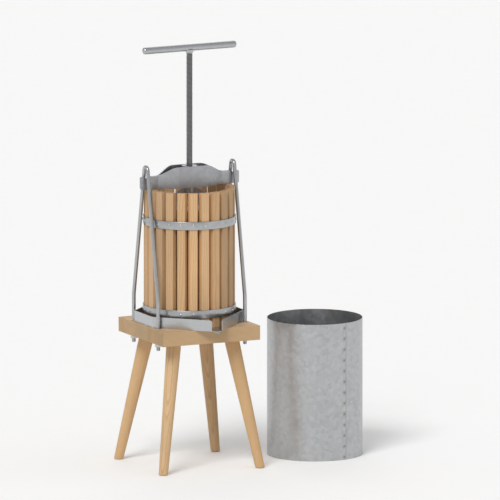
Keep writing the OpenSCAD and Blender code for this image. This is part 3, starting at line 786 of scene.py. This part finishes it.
def screw_mesh(shank_r, length, head_r, head_h):
    """One pan-head wood screw along +Z with a cross recess, and its head's underside at 0, in millimetres."""
    outline = [(0, -length), (SCREW_TIP_SHARE * shank_r, SCREW_TIP - length), (shank_r, SCREW_POINT - length)]
    outline += [(shank_r, 0), (head_r, 0)]
    for i in range(6):
        a = math.radians(15 * i)
        outline.append((head_r * math.cos(a), head_h * (HEAD_SIDE + (1 - HEAD_SIDE) * math.sin(a))))
    outline.append((0, head_h))
    bm = bmesh.new()
    lathe(bm, outline, 24)
    bmesh.ops.recalc_face_normals(bm, faces=bm.faces)
    screw = link_mesh("screw", bm)

    # The recess is cut by two crossed boxes
    wing = 0.26 * head_r
    span = 1.15 * head_r
    bm = bmesh.new()
    for size in ((wing, span, head_h), (span, wing, head_h)):
        made = bmesh.ops.create_cube(bm, size=1.0)["verts"]
        bmesh.ops.scale(bm, vec=size, verts=made)
        bmesh.ops.translate(bm, vec=(0, 0, 0.95 * head_h), verts=made)
    cutter = link_mesh("cutter", bm)
    cut = screw.modifiers.new("cut", "BOOLEAN")
    cut.object = cutter
    cut.use_self = True
    bpy.context.view_layer.update()
    shown = screw.evaluated_get(bpy.context.evaluated_depsgraph_get())
    result = bpy.data.meshes.new_from_object(shown)
    bpy.data.objects.remove(screw)
    bpy.data.objects.remove(cutter)
    return result


def build_screws(name, prototype, places, body, node):
    """A copy of a screw at each place, with its recess turned at random."""
    bm = bmesh.new()
    for place in places:
        turned = prototype.copy()
        turned.transform(place @ Matrix.Rotation(random.uniform(0, math.pi), 4, "Z"))
        bm.from_mesh(turned)
        bpy.data.meshes.remove(turned)
    make_piece(name, bm, zinc_steel, body, replaced=[node], sharp=35)


hoop_screw = screw_mesh(shank_r=2.0, length=18.0, head_r=4.0, head_h=2.2)
foot_screw = screw_mesh(shank_r=2.5, length=30.0, head_r=FOOT_SCREW_HEAD_R, head_h=3.5)
for name in ("lower_hoop", "upper_hoop"):
    low, high = mm_box(name)
    places = []
    for i in range(SLAT_COUNT):
        a = 2 * math.pi * i / SLAT_COUNT
        out = Matrix.Rotation(a, 4, "Z") @ Matrix.Rotation(math.pi / 2, 4, "Y")
        lift = Matrix.Translation((0, 0, (low.z + high.z) / 2))
        places.append(lift @ out @ Matrix.Translation((0, 0, high.x)))
    build_screws(name + "_screw_set", hoop_screw, places, "stand", name + "_screws")
foot_top = mm_box("foot_plate")[1].z
reach = mm_box("foot_screws")[1] - Vector((FOOT_SCREW_HEAD_R, FOOT_SCREW_HEAD_R, 0))
places = [Matrix.Translation((x * reach.x, y * reach.y, foot_top)) for x in (-1, 1) for y in (-1, 1)]
build_screws("foot_screw_set", foot_screw, places, "press_foot", "foot_screws")


def build_beam_beads():
    """The welds that hold the nut between the cheeks, and the cheeks together at their ends."""
    low, high = mm_box("spindle_nut")
    nut_margin = 2
    tip_margin = 7
    tip_x = mm_box("front_cheek")[1].x - 0.6
    tip_top = low.z + BEAM_TIP_HEIGHT - tip_margin
    bm = bmesh.new()
    for x in (-NUT_SEAM_X, NUT_SEAM_X):
        for y in (-NUT_SEAM_Y, NUT_SEAM_Y):
            bead(bm, Vector((x, y, low.z + nut_margin)), Vector((x, y, high.z - nut_margin)), NUT_BEAD_R)
    for x in (-tip_x, tip_x):
        bead(bm, Vector((x, 0, low.z + tip_margin)), Vector((x, 0, tip_top)), TIP_BEAD_R)
    make_piece("beam_beads", bm, bead_steel, "beam")


def build_foot_beads():
    """The welds round the socket's foot, along the gussets, and up the corners of gussets and socket."""
    low, high = mm_box("foot_socket")
    ring_r = high.x + 0.6
    ring_z = low.z + 0.8
    near = high.x + 3
    far = mm_box("foot_gussets")[1].x - 2
    seam_z = low.z + 0.5
    corner_x = high.x - 0.2
    bm = bmesh.new()
    ring_bead(bm, Vector((0, 0, ring_z)), ring_r, SOCKET_BEAD_R)
    for side in (-1, 1):
        for y in (-GUSSET_SEAM_Y, GUSSET_SEAM_Y):
            bead(bm, Vector((side * near, y, seam_z)), Vector((side * far, y, seam_z)), GUSSET_BEAD_R)
            x = side * corner_x
            bead(bm, Vector((x, y, low.z + 4)), Vector((x, y, high.z - 3)), UPRIGHT_BEAD_R)
    make_piece("foot_beads", bm, bead_steel, "press_foot")


build_beam_beads()
build_foot_beads()


def build_stage():
    """A pale floor that reaches past the picture on all sides."""
    bm = bmesh.new()
    corners = [(-1, -1), (1, -1), (1, 1), (-1, 1)]
    bm.faces.new([bm.verts.new((x * FLOOR_REACH, y * FLOOR_REACH, -FLOOR_DROP)) for x, y in corners])
    floor = link_mesh("floor", bm)
    tree = Surface("floor_paint")
    speck = tree.noise(tree.place(), 0.02)
    colour = tree.mix(speck, (0.96, 0.96, 0.955, 1), (0.98, 0.98, 0.975, 1))
    floor.data.materials.append(tree.finish(colour, 0.9, speck, 0.1 * MM))
    tree.shader.inputs["Specular IOR Level"].default_value = 0.1
    floor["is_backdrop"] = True


def build_world():
    """Soft light from above. Camera and mirror rays see a pale room, which is brightest at two sides."""
    world = bpy.data.worlds.new("world")
    bpy.context.scene.world = world
    world.use_nodes = True
    tree = Graph(world.node_tree)
    tree.nodes.clear()
    x, _, z = tree.split(tree.add("ShaderNodeTexCoord", {}, "Generated"))

    # lit is what lights the part, and seen is what the other rays meet
    lit = tree.ramp(z, [(0.0, 0.20), (1.0, 0.68)])
    across = tree.math("MULTIPLY_ADD", x, 0.5, 0.5)
    side = tree.ramp(across, [(0.0, 0.15), (0.22, 1.0), (0.46, 0.2), (0.78, 1.0), (1.0, 0.2)], "EASE")
    above = tree.within(z, 0.0, 0.2)
    side = tree.mix(above, (1, 1, 1, 1), side)
    seen = tree.mix(1.0, side, tree.ramp(z, [(0.05, 0.95), (0.8, 0.6)]), "MULTIPLY")

    rays = tree.node("ShaderNodeLightPath", {}).outputs
    direct = tree.math("MAXIMUM", rays["Is Camera Ray"], rays["Is Glossy Ray"])
    direct = tree.math("MAXIMUM", direct, rays["Is Transmission Ray"])
    background = tree.add("ShaderNodeBackground", {"Color": tree.mix(direct, lit, seen)})
    tree.node("ShaderNodeOutputWorld", {"Surface": background})


def add_sun(name, towards, width, strength):
    """A soft sun: it lights the whole floor alike. width is its angle in degrees."""
    lamp = bpy.data.lights.new(name, "SUN")
    lamp.angle = math.radians(width)
    lamp.energy = strength
    holder = bpy.data.objects.new(name, lamp)
    holder.location = towards
    holder.rotation_euler = Vector(towards).to_track_quat("Z", "Y").to_euler()
    bpy.context.scene.collection.objects.link(holder)


def build_camera():
    """A parallel view from the photo's side."""
    a = math.radians(VIEW_AZIMUTH)
    e = math.radians(VIEW_ELEVATION)
    back = Vector((math.sin(a) * math.cos(e), -math.cos(a) * math.cos(e), math.sin(e)))
    camera = bpy.data.cameras.new("camera")
    camera.type = "ORTHO"
    camera.ortho_scale = VIEW_WIDTH
    camera.clip_end = 200
    holder = bpy.data.objects.new("camera", camera)
    holder.location = (cad_low + cad_high) / 2 + CAMERA_DISTANCE * back
    holder.rotation_euler = back.to_track_quat("Z", "Y").to_euler()
    bpy.context.scene.collection.objects.link(holder)
    bpy.context.scene.camera = holder


build_stage()
build_world()
add_sun("key", (-2.4, -2.2, 3.4), width=24, strength=1.6)
add_sun("fill", (3.4, -1.2, 2.2), width=50, strength=0.15)
add_sun("back", (1.0, 3.0, 2.6), width=40, strength=0.3)
build_camera()
bpy.context.scene.view_settings.view_transform = "Standard"

low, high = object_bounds()
